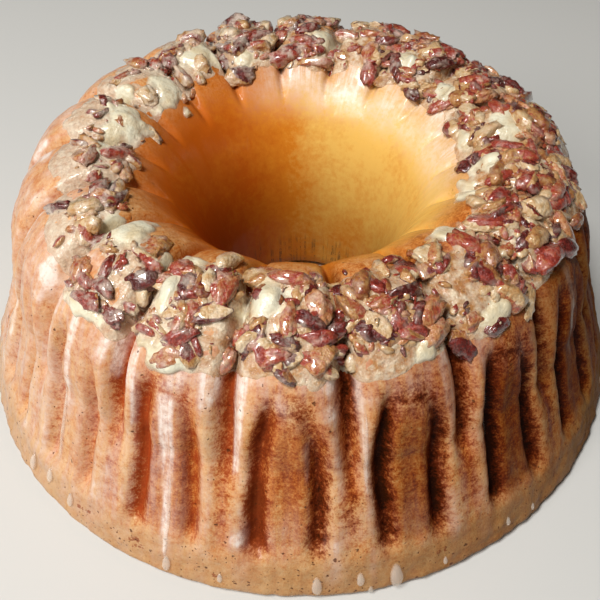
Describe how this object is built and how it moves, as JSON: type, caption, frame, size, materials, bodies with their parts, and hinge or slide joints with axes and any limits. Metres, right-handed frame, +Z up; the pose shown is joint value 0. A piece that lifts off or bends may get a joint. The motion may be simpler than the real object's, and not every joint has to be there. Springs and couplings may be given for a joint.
{
  "type": "walnut cake",
  "caption": "Tall fluted ring cake with a wide funnel-shaped middle and chopped nuts heaped on its glazed crown.",
  "frame": {"origin": "centre of the cake's flat underside", "axes": "+Z up along the middle of the hole; the picture was taken from the -Y side, looking down along +Y"},
  "size_m": [0.255, 0.255, 0.0972],
  "materials": {
    "crust": "browned sponge crust with pores, wet with clear glaze, under reddish-brown and cream chopped nuts"
  },
  "bodies": {
    "root": {"cake": "crust"}
  },
  "joints": []
}
